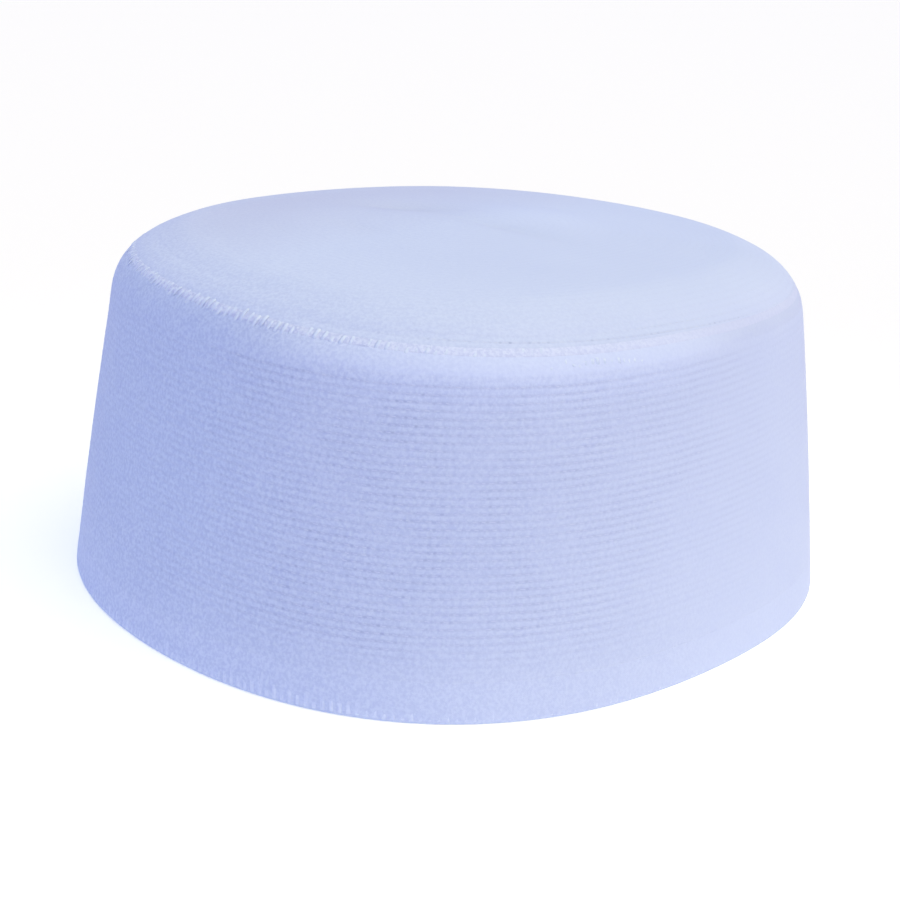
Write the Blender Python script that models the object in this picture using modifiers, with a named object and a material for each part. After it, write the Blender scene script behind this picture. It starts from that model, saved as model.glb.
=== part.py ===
"""Prayer cap: a stitched cloth cap with an upright side wall, a soft rounded corner and a nearly flat top.

Each piece is first turned as a straight tube. In that tube the height is the length along the cloth,
measured from the rim, and the wall is the depth under the cap's outer surface. The tube is then laid
on the cap's own form: the leaning wall, the rounded corner, the crowned top and the plan, which is
round with a few soft swells. Metres, +Z up, the rim's foot on the ground, the front towards -Y.
"""
import math

import bmesh
import bpy
import numpy as np

# The cap's main sizes
RIM_RADIUS = 0.0925          # mean outer radius at the rim, 58 cm round
CLOTH = 0.0020               # the stitched wall, two layers of cloth with a stiff filling
HEM_CLOTH = 0.0030           # the hem, where the wall is turned up inside
HEM_HEIGHT = 0.0094          # from the rim to the hem's stitch line
FOOT_ROUND = 0.0006          # how far the hem's foot is rounded off at each side
CLEARANCE = 0.0003           # between neighbouring pieces

# The seam between wall and top, as a length along the cloth from the rim
SEAM_ALONG = 0.0799
SEAM_TILT_X = -0.0019        # the seam sits lower on the right and higher on the left
SEAM_TILT_Y = 0.0008
SEAM_WIDTH = 0.0018
SEAM_RISE = 0.0005           # how far the seam's ridge stands out of the cloth
SHOULDER_RISE = 0.00035      # the same, on the ridge's two shoulders
SEAM_FALL = 0.0003           # how far the ridge stands out on the inside

# The cloth's lean from the upright, at lengths along it from the rim: (along, lean in degrees)
LEAN = (
    (0.0000, 6.6),           # rim
    (0.0712, 9.1),           # where the wall starts to turn over
    (0.0765, 28.8),
    (0.0818, 47.9),          # just above the seam
    (0.0870, 64.6),
    (0.0923, 70.1),
    (0.0976, 85.1),          # where the top begins
    (0.1640, 90.0),          # past the centre of the top
)
PROFILE_STEP = 0.00025

# Soft swells of the plan: (waves around, share along +X, share along +Y)
PLAN_SWELLS = (
    (2, 0.0078, 0.0264),
    (3, 0.0021, 0.0158),
    (4, 0.0184, 0.0000),
)
CENTRE_FADE = 0.045          # inside this radius the swells fade out towards the centre

# Hollows (-) and swells (+) of the top: (x, y, half length, half width, turn in degrees, depth)
TOP_DENTS = (
    (-0.014, 0.019, 0.014, 0.006, -12.0, -0.0011),   # the crescent behind the middle
    (0.010, -0.003, 0.018, 0.004, -38.0, -0.0007),   # the crease that runs on to the front
    (0.017, 0.015, 0.016, 0.009, -25.0, 0.0008),     # the swell behind the crease
    (-0.025, -0.010, 0.010, 0.004, -50.0, -0.0004),  # a fainter crease on the left
)

# How finely the form is cut, and how it is turned
AROUND = 72                  # facets around the cap
SHARP_ANGLE = math.radians(40)  # edges that turn more than this stay crisp
TURN_RADIUS = 0.1            # of the straight tubes, before they are laid on the form
WELD = 0.00005               # points closer than this are one, at the tube's seam and the top's centre

# Sections: rows of (depth, along); along runs 0 to 1 between the piece's own two edges
HEM_SECTION = (
    (0.0, 1.0),
    (0.0, 0.5),
    (0.0, 0.09),
    (FOOT_ROUND, 0.0),
    (HEM_CLOTH - FOOT_ROUND, 0.0),
    (HEM_CLOTH, 0.09),
    (HEM_CLOTH, 1.0),
)
BAND_SECTION = (
    (0.0, 1.0),
    (0.0, 0.97),
    (0.0, 0.94),
    (0.0, 0.89),
    (0.0, 0.78),
    (0.0, 0.52),
    (0.0, 0.26),
    (0.0, 0.0),
    (CLOTH, 0.0),
    (CLOTH, 0.4),
    (CLOTH, 0.8),
    (CLOTH, 0.90),
    (CLOTH, 0.96),
    (CLOTH, 1.0),
)
TOP_SECTION = (
    (0.0, 1.0),
    (0.0, 0.93),
    (0.0, 0.84),
    (0.0, 0.74),
    (0.0, 0.62),
    (0.0, 0.50),
    (0.0, 0.38),
    (0.0, 0.28),
    (0.0, 0.205),
    (0.0, 0.15),
    (0.0, 0.10),
    (0.0, 0.05),
    (0.0, 0.0),
    (CLOTH, 0.0),
    (CLOTH, 0.08),
    (CLOTH, 0.16),
    (CLOTH, 0.24),
    (CLOTH, 0.40),
    (CLOTH, 0.58),
    (CLOTH, 0.74),
    (CLOTH, 0.88),
    (CLOTH, 1.0),
)
SEAM_SECTION = (
    (0.0, 1.0),
    (-SHOULDER_RISE, 0.8),
    (-SEAM_RISE, 0.5),
    (-SHOULDER_RISE, 0.2),
    (0.0, 0.0),
    (CLOTH, 0.0),
    (CLOTH + SEAM_FALL, 0.5),
    (CLOTH, 1.0),
)

# The cloth's colours, linear, and its roughness
WHITE_CLOTH = (0.66, 0.71, 0.87)
WHITE_THREAD = (0.76, 0.80, 0.92)
ROUGHNESS = 0.85


def cloth_profile():
    """The cloth's lean, inset and height at even steps along it, worked out from LEAN.

    Each step rises by its length times the cosine of the lean, and goes in by its length times the sine.
    """
    along = np.arange(0.0, LEAN[-1][0] + PROFILE_STEP / 2, PROFILE_STEP)
    lean = np.radians(np.interp(along, [row[0] for row in LEAN], [row[1] for row in LEAN]))
    middle = (lean[1:] + lean[:-1]) / 2
    inset = np.concatenate([[0.0], np.cumsum(np.sin(middle) * PROFILE_STEP)])
    height = np.concatenate([[0.0], np.cumsum(np.cos(middle) * PROFILE_STEP)])
    return along, lean, inset, height


ALONG, LEAN_AT, INSET_AT, HEIGHT_AT = cloth_profile()
CENTRE_ALONG = float(np.interp(RIM_RADIUS, INSET_AT, ALONG))


def plan_radius(angle):
    """The rim's outer radius at an angle from +X."""
    swell = sum(x * np.cos(waves * angle) + y * np.sin(waves * angle) for waves, x, y in PLAN_SWELLS)
    return RIM_RADIUS * (1 + swell)


def plan_centre():
    """The middle of the rim's box, which the cap is centred on."""
    angle = np.linspace(0, 2 * math.pi, AROUND, endpoint=False)
    x = plan_radius(angle) * np.cos(angle)
    y = plan_radius(angle) * np.sin(angle)
    return (x.min() + x.max()) / 2, (y.min() + y.max()) / 2


def seam_along(angle):
    """The seam's place along the cloth at an angle from +X."""
    return SEAM_ALONG + SEAM_TILT_X * np.cos(angle) + SEAM_TILT_Y * np.sin(angle)


def top_relief(x, y):
    """Height that the dents and swells of the top add: soft oval hollows, one for each row."""
    height = np.zeros_like(x)
    for centre_x, centre_y, half_length, half_width, turn, depth in TOP_DENTS:
        cosine, sine = math.cos(math.radians(turn)), math.sin(math.radians(turn))
        lengthwise = ((x - centre_x) * cosine + (y - centre_y) * sine) / half_length
        crosswise = ((y - centre_y) * cosine - (x - centre_x) * sine) / half_width
        height += depth * np.exp(-(lengthwise ** 2 + crosswise ** 2))
    return height


def on_cap(angle, along, depth):
    """Points on the cap at an angle from +X, a length along the cloth and a depth under its surface."""
    lean = np.interp(along, ALONG, LEAN_AT)
    radius = RIM_RADIUS - np.interp(along, ALONG, INSET_AT)
    share = np.clip(radius / CENTRE_FADE, 0, 1)
    share = share * share * (3 - 2 * share)
    radius = radius + (plan_radius(angle) - RIM_RADIUS) * share
    radius = radius - depth * np.cos(lean)
    x, y = radius * np.cos(angle), radius * np.sin(angle)
    z = np.interp(along, ALONG, HEIGHT_AT) - depth * np.sin(lean) + top_relief(x, y)
    centre_x, centre_y = plan_centre()
    return x - centre_x, y - centre_y, np.maximum(z, 0.0)


def turned_tube(name, section, closed):
    """A straight tube with this section: radius is TURN_RADIUS less the depth, height is along."""
    mesh = bpy.data.meshes.new(name)
    points = [(TURN_RADIUS - depth, 0.0, along) for depth, along in section]
    edges = [(i, i + 1) for i in range(len(points) - 1)]
    if closed:
        edges.append((len(points) - 1, 0))
    mesh.from_pydata(points, edges, [])
    profile = bpy.data.objects.new(name, mesh)
    bpy.context.scene.collection.objects.link(profile)
    screw = profile.modifiers.new("turn", "SCREW")
    screw.steps = AROUND
    screw.render_steps = AROUND
    screw.use_merge_vertices = True
    screw.merge_threshold = WELD
    turned = bpy.data.meshes.new_from_object(
        profile.evaluated_get(bpy.context.evaluated_depsgraph_get()))
    bpy.data.objects.remove(profile)
    return turned


def lay_on_cap(mesh, low_edge, high_edge):
    """Move a tube's points onto the cap; along runs from low_edge to high_edge at each angle."""
    points = np.empty(len(mesh.vertices) * 3)
    mesh.vertices.foreach_get("co", points)
    points = points.reshape(-1, 3)
    angle = np.arctan2(points[:, 1], points[:, 0])
    depth = TURN_RADIUS - np.hypot(points[:, 0], points[:, 1])
    low, high = low_edge(angle), high_edge(angle)
    x, y, z = on_cap(angle, low + (high - low) * points[:, 2], depth)
    mesh.vertices.foreach_set("co", np.stack([x, y, z], axis=1).ravel())


def make_piece(name, section, closed, low_edge, high_edge, colour, collection):
    """One sub-part: a turned section laid on the cap between its two edges."""
    mesh = turned_tube(name, section, closed)
    lay_on_cap(mesh, low_edge, high_edge)
    shape = bmesh.new()
    shape.from_mesh(mesh)
    bmesh.ops.remove_doubles(shape, verts=shape.verts, dist=WELD)
    bmesh.ops.recalc_face_normals(shape, faces=shape.faces)
    shape.to_mesh(mesh)
    shape.free()
    mesh.shade_smooth()
    mesh.set_sharp_from_angle(angle=SHARP_ANGLE)
    mesh.materials.clear()
    mesh.materials.append(cloth_material(name, colour))
    mesh.name = name
    piece = bpy.data.objects.new(name, mesh)
    collection.objects.link(piece)
    return piece


def cloth_material(name, colour):
    """A matt cloth in one colour."""
    material = bpy.data.materials.new(name)
    material.use_nodes = True
    shader = material.node_tree.nodes["Principled BSDF"]
    shader.inputs["Base Color"].default_value = (*colour, 1.0)
    shader.inputs["Roughness"].default_value = ROUGHNESS
    shader.inputs["Metallic"].default_value = 0.0
    material.diffuse_color = (*colour, 1.0)
    return material


def rim(angle):
    """The rim: no length along the cloth."""
    return np.zeros_like(angle)


def hem_top(angle):
    """The hem's upper edge, a clearance under its stitch line."""
    return np.full_like(angle, HEM_HEIGHT - CLEARANCE)


def band_bottom(angle):
    """The side band's lower edge."""
    return np.full_like(angle, HEM_HEIGHT)


def band_top(angle):
    """The side band's upper edge, a clearance under the seam."""
    return seam_along(angle) - SEAM_WIDTH / 2 - CLEARANCE


def seam_bottom(angle):
    """The seam ridge's lower edge."""
    return seam_along(angle) - SEAM_WIDTH / 2


def seam_top(angle):
    """The seam ridge's upper edge."""
    return seam_along(angle) + SEAM_WIDTH / 2


def panel_edge(angle):
    """The top panel's outer edge, a clearance past the seam."""
    return seam_along(angle) + SEAM_WIDTH / 2 + CLEARANCE


def panel_centre(angle):
    """The middle of the top."""
    return np.full_like(angle, CENTRE_ALONG)


def main():
    for old in list(bpy.data.objects):
        bpy.data.objects.remove(old)
    cap = bpy.data.collections.new("prayer_cap")
    bpy.context.scene.collection.children.link(cap)
    make_piece("rim_hem", HEM_SECTION, True, rim, hem_top, WHITE_CLOTH, cap)
    make_piece("side_band", BAND_SECTION, True, band_bottom, band_top, WHITE_CLOTH, cap)
    make_piece("top_seam", SEAM_SECTION, True, seam_bottom, seam_top, WHITE_THREAD, cap)
    make_piece("top_panel", TOP_SECTION, False, panel_edge, panel_centre, WHITE_CLOTH, cap)


main()
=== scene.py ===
# %% [markdown]
# # A stitched prayer cap
# The cap is a stiff shell of white cloth. A strip of cloth, closed into a ring, makes the side wall, and a
# round piece makes the top. Both are sewn through in rows of small stitches, so the cloth stands up in ribs
# between the rows. The solids loaded here give the cap its size; this lesson makes the cloth and the thread.

# %% Load the frame
import math

import bmesh
import bpy
import numpy as np
from mathutils import Matrix, Vector


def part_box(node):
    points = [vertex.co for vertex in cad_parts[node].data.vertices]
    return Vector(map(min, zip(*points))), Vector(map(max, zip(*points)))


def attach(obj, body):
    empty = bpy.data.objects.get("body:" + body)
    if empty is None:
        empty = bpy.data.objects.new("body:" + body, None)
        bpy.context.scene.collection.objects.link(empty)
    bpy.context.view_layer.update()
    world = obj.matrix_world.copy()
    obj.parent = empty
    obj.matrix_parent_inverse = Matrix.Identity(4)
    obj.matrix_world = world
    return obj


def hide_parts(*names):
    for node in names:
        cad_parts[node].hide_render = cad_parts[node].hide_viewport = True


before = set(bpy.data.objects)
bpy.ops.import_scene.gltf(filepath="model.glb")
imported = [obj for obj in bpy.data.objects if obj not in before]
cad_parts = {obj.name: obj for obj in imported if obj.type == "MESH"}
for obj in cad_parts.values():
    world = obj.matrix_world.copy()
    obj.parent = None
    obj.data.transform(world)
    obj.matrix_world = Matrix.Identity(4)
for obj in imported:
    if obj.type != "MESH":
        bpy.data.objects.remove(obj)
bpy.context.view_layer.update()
print("solids:", sorted(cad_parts))

# %% [markdown]
# ## The cap's form
# A point of the cap is given by three values: the angle round the cap, the length along the cloth from the
# rim, and how far the point rises off the cloth's outer face. The form could be modelled as a mesh by hand,
# but then every seam and stitch would need its own fitting. A formula tells each of them where the cloth is.

# %% Main sizes, in metres
TURN = 2 * math.pi
RIM_RADIUS = 0.0925
CLOTH = 0.0020
HEM_CLOTH = 0.0030
HEM_HEIGHT = 0.0094
SEAM_WIDTH = 0.0018
SEAM_MIDDLE = (0.0799, -0.0019, 0.0008)   # along the cloth: mean, share of the cosine, share of the sine

# the cloth's lean from the upright, in degrees, at lengths along it: (along, lean)
LEAN = ((0.0000, 6.6), (0.0712, 9.1), (0.0765, 28.8), (0.0818, 47.9), (0.0870, 64.6), (0.0923, 70.1),
        (0.0976, 85.1), (0.1640, 90.0))
PROFILE_STEP = 0.00025

# soft swells of the plan: (waves around, share of the cosine, share of the sine)
PLAN_SWELLS = ((2, 0.0078, 0.0264), (3, 0.0021, 0.0158), (4, 0.0184, 0.0000))
CENTRE_FADE = 0.045   # inside this radius the swells die away

# creases of the corner: (middle and reach round the cap in degrees, place along the cloth, height,
# width below, width above)
CORNER_CREASES = (
    (-79, 52, 0.0738, 0.0020, 0.0450, 0.0080),
    (-146, 40, 0.0806, 0.0005, 0.0160, 0.0070),
)
CREASE_ROUND = 0.0006   # rounds the ridge

# hollows and swells of the top: (x, y, half length, half width, turn in degrees, depth)
TOP_DENTS = (
    (-0.014, 0.019, 0.014, 0.006, -12.0, -0.0011),
    (0.010, -0.003, 0.018, 0.004, -38.0, -0.0007),
    (0.017, 0.015, 0.016, 0.009, -25.0, 0.0008),
    (-0.025, -0.010, 0.010, 0.004, -50.0, -0.0004),
)


# %% The cloth's profile
def smooth(share):
    """Share clipped to 0 to 1 and eased at both ends: its square times three less twice the share."""
    share = np.clip(share, 0, 1)
    return share * share * (3 - 2 * share)


def cloth_profile():
    """Lean, inset and height along the cloth: each step rises by its cosine and goes in by its sine."""
    along = np.arange(0.0, LEAN[-1][0] + PROFILE_STEP / 2, PROFILE_STEP)
    lean = np.radians(np.interp(along, [row[0] for row in LEAN], [row[1] for row in LEAN]))
    middle = (lean[1:] + lean[:-1]) / 2
    inset = np.r_[0.0, np.cumsum(np.sin(middle) * PROFILE_STEP)]
    height = np.r_[0.0, np.cumsum(np.cos(middle) * PROFILE_STEP)]
    return along, lean, inset, height


ALONG, LEAN_AT, INSET_AT, HEIGHT_AT = cloth_profile()
CENTRE_ALONG = float(np.interp(RIM_RADIUS, INSET_AT, ALONG))
print("length of cloth from the rim to the top's centre: %.1f mm" % (CENTRE_ALONG * 1000))


# %% The plan, the seam and the point on the cap
def plan_radius(angle):
    """Outer radius of the rim: the mean radius times one plus the swells."""
    swell = sum(x * np.cos(waves * angle) + y * np.sin(waves * angle) for waves, x, y in PLAN_SWELLS)
    return RIM_RADIUS * (1 + swell)


def seam_along(angle):
    """The seam's place along the cloth, which sits a little lower on the right."""
    mean, cosine, sine = SEAM_MIDDLE
    return mean + cosine * np.cos(angle) + sine * np.sin(angle)


def plan_centre(facets=72):
    """Middle of the rim's box, taken at the solids' own facets."""
    angle = np.linspace(0, TURN, facets, endpoint=False)
    x, y = plan_radius(angle) * np.cos(angle), plan_radius(angle) * np.sin(angle)
    return (x.min() + x.max()) / 2, (y.min() + y.max()) / 2


CENTRE_X, CENTRE_Y = plan_centre()


def top_relief(x, y):
    """Height of the dents: for each row of TOP_DENTS a bell whose contours are ovals."""
    height = np.zeros_like(x)
    for centre_x, centre_y, half_length, half_width, turn, depth in TOP_DENTS:
        cosine, sine = math.cos(math.radians(turn)), math.sin(math.radians(turn))
        lengthwise = ((x - centre_x) * cosine + (y - centre_y) * sine) / half_length
        crosswise = ((y - centre_y) * cosine - (x - centre_x) * sine) / half_width
        height = height + depth * np.exp(-(lengthwise ** 2 + crosswise ** 2))
    return height


def outward(angle, along):
    """Direction off the cloth: the radius times the lean's cosine, up times its sine."""
    lean = np.interp(along, ALONG, LEAN_AT) + 0 * angle
    return np.stack([np.cos(lean) * np.cos(angle), np.cos(lean) * np.sin(angle), np.sin(lean)], axis=-1)


def corner_shape(angle, along):
    """Lift of the corner: for each row of CORNER_CREASES a roof across the cloth with a rounded ridge.

    It falls in a straight line to nothing over the width below and the width above, and fades round the cap.
    """
    lift = 0.0
    for middle, reach, place, height, below, above in CORNER_CREASES:
        aside = np.abs((angle - math.radians(middle) + math.pi) % TURN - math.pi)
        window = smooth((math.radians(reach) - aside) / math.radians(reach / 2))
        across = np.sqrt((along - place) ** 2 + CREASE_ROUND ** 2) - CREASE_ROUND
        lift = lift + height * window * np.clip(1 - across / np.where(along < place, below, above), 0, 1)
    return lift


def on_cap(angle, along, rise):
    """Point at an angle and a length along the cloth, lifted off its outer face by rise."""
    angle, along, rise = np.broadcast_arrays(angle, along, rise)
    rise = rise + corner_shape(angle, along)
    radius = RIM_RADIUS - np.interp(along, ALONG, INSET_AT)
    radius = radius + (plan_radius(angle) - RIM_RADIUS) * smooth(radius / CENTRE_FADE)
    lean = np.interp(along, ALONG, LEAN_AT)
    radius = radius + rise * np.cos(lean)
    x, y = radius * np.cos(angle), radius * np.sin(angle)
    z = np.interp(along, ALONG, HEIGHT_AT) + rise * np.sin(lean) + top_relief(x, y)
    return np.stack([x - CENTRE_X, y - CENTRE_Y, z], axis=-1)


rim_low, rim_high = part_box("rim_hem")
ring = on_cap(np.linspace(0, TURN, 73), 0.0, 0.0)
print("rim by formula %.4f m wide, solid %.4f m" % (np.ptp(ring[:, 0]), rim_high.x - rim_low.x))

# %% [markdown]
# ## Meshes from arrays
# Two helpers make every piece. One turns a grid of points, rows by columns, into a closed ring of cloth.
# The other makes many stitches at once: each is a short spindle of thread, thick in the middle and pointed
# where it dives into the cloth. Both take whole arrays, so thousands of stitches cost no more lines than one.


# %% Mesh, grid and stitch helpers
MERGE_DISTANCE = 0.000002   # closes the middle of the top, where a whole row lies in one point


def build_mesh(name, points, quads, triangles, uv_maps):
    """A mesh object from arrays of points, quads and triangles, with a UV value for each face corner."""
    mesh = bpy.data.meshes.new(name)
    mesh.vertices.add(len(points))
    mesh.vertices.foreach_set("co", points.astype(np.float32).ravel())
    corners = np.concatenate([quads.ravel(), triangles.ravel()]).astype(np.int32)
    starts = np.concatenate([np.arange(len(quads)) * 4, len(quads) * 4 + np.arange(len(triangles)) * 3])
    mesh.loops.add(len(corners))
    mesh.loops.foreach_set("vertex_index", corners)
    mesh.polygons.add(len(starts))
    mesh.polygons.foreach_set("loop_start", starts.astype(np.int32))
    for uv_name, values in uv_maps.items():
        layer = mesh.uv_layers.new(name=uv_name)
        layer.uv.foreach_set("vector", values.astype(np.float32).ravel())
    mesh.update(calc_edges=True)
    mesh.validate()
    piece = bpy.data.objects.new(name, mesh)
    bpy.context.scene.collection.objects.link(piece)
    return piece


def strip_uv(across, up):
    """(u, v) at the low and the high edge of every strip of faces, from a grid of u and a v for each row.

    There is one column more than in the grid of points, so that a pattern runs on across the last column.
    The high edge of a strip is the low edge of the next one.
    """
    low = np.stack(np.broadcast_arrays(across, up[:, None]), axis=-1)
    return low, np.roll(low, -1, axis=0)


def cloth_ring(name, points, stitch_uv, cloth_uv, shown):
    """A closed ring from a grid of points (rows, columns).

    Columns go round the cap and close on the first. Rows go up the outer face and down the inner one, and
    the last row joins the first. Shown holds a name and a grid of values for each effect: how strongly the
    rows, holes and specks show at a point, how much painted light makes it lighter or painted shade darker,
    and how much it takes of the cooler tint of painted shade.
    """
    rows, columns = points.shape[:2]
    row = np.arange(rows)[:, None]
    column = np.arange(columns)[None, :]
    next_row, next_column = (row + 1) % rows, (column + 1) % columns
    low, high = row * columns, next_row * columns
    quads = [low + column, low + next_column, high + next_column, high + column]
    quads = np.stack(quads, axis=-1).reshape(-1, 4)
    uv_maps = {}
    for uv_name, (low, high) in (("stitch", stitch_uv), ("cloth", cloth_uv)):
        corners = np.stack([low[:, :-1], low[:, 1:], high[:, 1:], high[:, :-1]], axis=2)
        uv_maps[uv_name] = corners.reshape(-1, 2)
    piece = build_mesh(name, points.reshape(-1, 3), quads, np.zeros((0, 3), int), uv_maps)
    for effect, values in shown.items():
        layer = piece.data.attributes.new(effect, "FLOAT", "POINT")
        layer.data.foreach_set("value", np.broadcast_to(values, points.shape[:2]).astype(np.float32).ravel())
    shape = bmesh.new()
    shape.from_mesh(piece.data)
    bmesh.ops.remove_doubles(shape, verts=shape.verts, dist=MERGE_DISTANCE)
    shape.to_mesh(piece.data)
    shape.free()
    piece.data.shade_smooth()
    print(name, "triangles:", sum(len(face.vertices) - 2 for face in piece.data.polygons))
    return piece


def stitches(name, angle, along, rise, thread, sides):
    """Spindles of thread: one for each row of the arrays, which hold the points of its middle line.

    Thread is half its width and half its height. Round each inner point lies a ring: half the width times
    the cosine across the line, plus half the height times the sine off the cloth. Tips are single points.
    """
    line = on_cap(angle, along, rise)
    tangent = np.gradient(line, axis=1)
    tangent /= np.linalg.norm(tangent, axis=2, keepdims=True)
    side = np.cross(outward(angle, along), tangent)
    side /= np.linalg.norm(side, axis=2, keepdims=True)
    off = np.cross(tangent, side)
    turn = np.linspace(0, TURN, sides, endpoint=False)
    rings = line[:, 1:-1, None, :] + thread[0] * np.cos(turn)[:, None] * side[:, 1:-1, None, :]
    rings = rings + thread[1] * np.sin(turn)[:, None] * off[:, 1:-1, None, :]
    count, inner = rings.shape[:2]
    size = inner * sides + 2
    points = np.concatenate([rings.reshape(count, -1, 3), line[:, :1], line[:, -1:]], axis=1).reshape(-1, 3)
    level = np.arange(inner - 1)[:, None] * sides
    here = np.arange(sides)
    after = (here + 1) % sides
    low, high, last = level, level + sides, (inner - 1) * sides
    quads = np.stack([low + here, low + after, high + after, high + here], axis=-1).reshape(-1, 4)
    start_fan = np.stack([0 * here + inner * sides, after, here], axis=-1)
    end_fan = np.stack([last + here, last + after, 0 * here + size - 1], axis=-1)
    first = (np.arange(count) * size)[:, None, None]
    quads = (first + quads).reshape(-1, 4)
    triangles = (first + np.concatenate([start_fan, end_fan])).reshape(-1, 3)
    piece = build_mesh(name, points, quads, triangles, {})
    piece.data.shade_smooth()
    print(name, "stitches:", count, "triangles:", 2 * len(quads) + len(triangles))
    return piece


# %% [markdown]
# ## What shows where
# Sewing, washing and handling leave the rows clear in one place and nearly closed in another. Each table
# below says how strongly something shows at angles round the cap, where -90 degrees is the middle of the
# front and 0 the right. One even strength would be simpler, but the cap would then look printed.

# %% How strongly things show round the cap: (degrees, share)
ROWS_SHOWN = ((-180, 0.4), (-148, 0.3), (-128, 0.6), (-105, 1), (-62, 0.85), (-38, 0.5), (-27, 0.12),
              (0, 0.2), (35, 0.8), (150, 0.8), (180, 0.4))
HEM_FADE = 6        # rows over which the ribs come up above the hem
# on the right the rows fade below row LOW_ROWS, over LOW_FADE rows
LOW_CALM = ((-180, 0), (-70, 0), (-48, 0.7), (0, 0.7), (40, 0), (180, 0))
LOW_ROWS = 22
LOW_FADE = 12
HOLES_SHOWN = ((-180, 0.7), (-130, 1), (-98, 1), (-84, 0.6), (-60, 0.35), (0, 0.3), (60, 0.8), (180, 0.7))
SPECKS_SHOWN = ((-180, 1), (-125, 1), (-100, 0.75), (-60, 0.35), (-40, 0.15), (0, 0.2), (60, 0.6),
                (180, 1))

# the strip under the seam: smoother, lighter at the front with painted light, and darker on the right, where
# it faces the lamp, with painted shade
STRIP_LIGHT_AND_SHADE = ((-180, 0), (-118, 0), (-98, 0.8), (-86, 1), (-60, 1), (-45, 0.3), (-32, -0.25),
                (0, -0.35), (40, 0), (180, 0))
STRIP_PAINTED_LIGHT = 0.09
STRIP_CALM = 0.5
# painted light on the upper rows just below the strip, which lie in the crease's shade, from this length
# along the cloth
BELOW_CREASE = 0.0660
BELOW_FADE = 0.006
BELOW_PAINTED_LIGHT = 0.05
# painted shade on the left side, away from the lamp: a little darker and cooler, in full from this length
# along the cloth
LEFT_SHADE_SHOWN = ((-180, 0.6), (-168, 0.8), (-152, 1), (-130, 1), (-108, 0), (150, 0), (180, 0.6))
LEFT_SHADE_HEIGHT = 0.035


def round_cap(table, angle):
    """Value at an angle, read from the table by straight lines between its rows."""
    degrees = (np.degrees(angle) + 180) % 360 - 180
    return np.interp(degrees, [row[0] for row in table], [row[1] for row in table])


# %% [markdown]
# ## The rows of stitches
# A machine sews the rows one above the other. Each row wanders a little, as hand-guided cloth does, and each
# starts at its own place, so the needle holes of two rows don't line up. The wander could be random noise,
# but a sum of a few long waves, whose phases drift slowly from row to row, keeps neighbouring rows alike.

# %% Row wander and stitch drift
STITCHES_AROUND = 291
WAVES = np.arange(2, 40)
PHASE_DRIFT = 0.5     # radians from row to row
STITCH_DRIFT = 0.45   # of a stitch, from row to row


def row_wander(rows, angle, size, seed):
    """Sum over waves of size / root(wave) times cos(wave * angle + phase); phases drift by row."""
    chance = np.random.default_rng(seed)
    start = chance.uniform(0, TURN, len(WAVES))
    phases = start + np.cumsum(chance.normal(0, PHASE_DRIFT, (rows, len(WAVES))), axis=0)
    wander = 0.0
    for wave, phase in zip(WAVES, phases.T):
        wander = wander + np.cos(wave * angle + phase[:, None]) / math.sqrt(wave)
    return size * wander


def stitch_drift(rows, seed):
    """How many stitches each row is ahead of the first: a walk of small steps."""
    return np.cumsum(np.random.default_rng(seed).uniform(-STITCH_DRIFT, STITCH_DRIFT, rows))


def hole_scatter(rows, holes, size, seed):
    """Small random offsets at the needle holes, and half way between two holes their mean."""
    at_holes = np.random.default_rng(seed).normal(0, size, (rows, holes))
    scatter = np.empty((rows, 2 * holes))
    scatter[:, 0::2] = at_holes
    scatter[:, 1::2] = (at_holes + np.roll(at_holes, -1, axis=1)) / 2
    return scatter


# %% [markdown]
# ## The side band
# The wall of the cap. Between two rows of stitches the filling pushes the cloth up into a rib, and at each
# needle hole the thread pulls it down. The relief could be a bump in the material, but the ribs show on the
# cap's outline and in its shadows, so the grid itself follows the rows: three points across each rib, and
# two columns for each stitch, one at the needle hole and one half way to the next.

# %% Side band: rows
RIBS = 39
ROW_PITCH = 0.001648
RIB_RISE = 0.00005
ROW_FALL = 0.00005
HOLE_FALL = 0.00009
LUMP_RISE = 0.000016
RIB_AT_HOLE = 0.55          # share of the rib's rise that is pulled down beside a needle hole
RIB_STEPS = np.array([0.0, 0.33, 0.67])
COLUMNS = 2 * STITCHES_AROUND
HOLE_SCATTER = 0.09         # of a stitch
ROW_WANDER = 0.000045
ROW_SCATTER = 0.00004
CALM_ROWS = 3               # the first rows lie straight, along the hem

column = np.arange(COLUMNS)
row_number = np.arange(RIBS + 1)
stitch_scatter = hole_scatter(RIBS + 1, STITCHES_AROUND, HOLE_SCATTER, 13)
stitch_start = stitch_drift(RIBS + 1, 11)[:, None]
row_angle = TURN * (column / 2 + stitch_start + stitch_scatter) / STITCHES_AROUND
calm = np.clip(row_number[:, None] / CALM_ROWS, 0, 1)
row_scatter = hole_scatter(RIBS + 1, STITCHES_AROUND, ROW_SCATTER, 14)
row_wave = row_wander(RIBS + 1, row_angle, ROW_WANDER, 12) + row_scatter
row_along = HEM_HEIGHT + ROW_PITCH * row_number[:, None] + calm * row_wave
print("stitch rows from %.1f to %.1f mm above the rim" % (row_along.min() * 1000, row_along.max() * 1000))

# %% Side band: relief and mesh
STRIP_STEPS = np.array([0.14, 0.28, 0.40, 0.52, 0.62, 0.72, 0.82, 0.91, 0.985, 1.0])
STRIP_SWELL = 0.00006
INNER_STEPS = np.array([
    1.0, 0.985, 0.97, 0.95, 0.925, 0.90, 0.87, 0.83, 0.77, 0.69, 0.60, 0.50, 0.40, 0.30, 0.20, 0.10, 0.0])
LAST_ROW = RIBS - 0.6   # the material's rows stop here, so none is drawn on the plain strip
INNER_SHOWN = 0.3


def row_strength(steps, angle):
    """How deep the rows are drawn in: not at all at the hem and the corner, fully between."""
    low = np.clip((LOW_ROWS - steps) / LOW_FADE, 0, 1) * round_cap(LOW_CALM, angle)
    ends = np.clip(steps / HEM_FADE, 0, 1) * np.clip(RIBS - steps, 0, 1)
    return ends * (1 - low) * round_cap(ROWS_SHOWN, angle)


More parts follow.
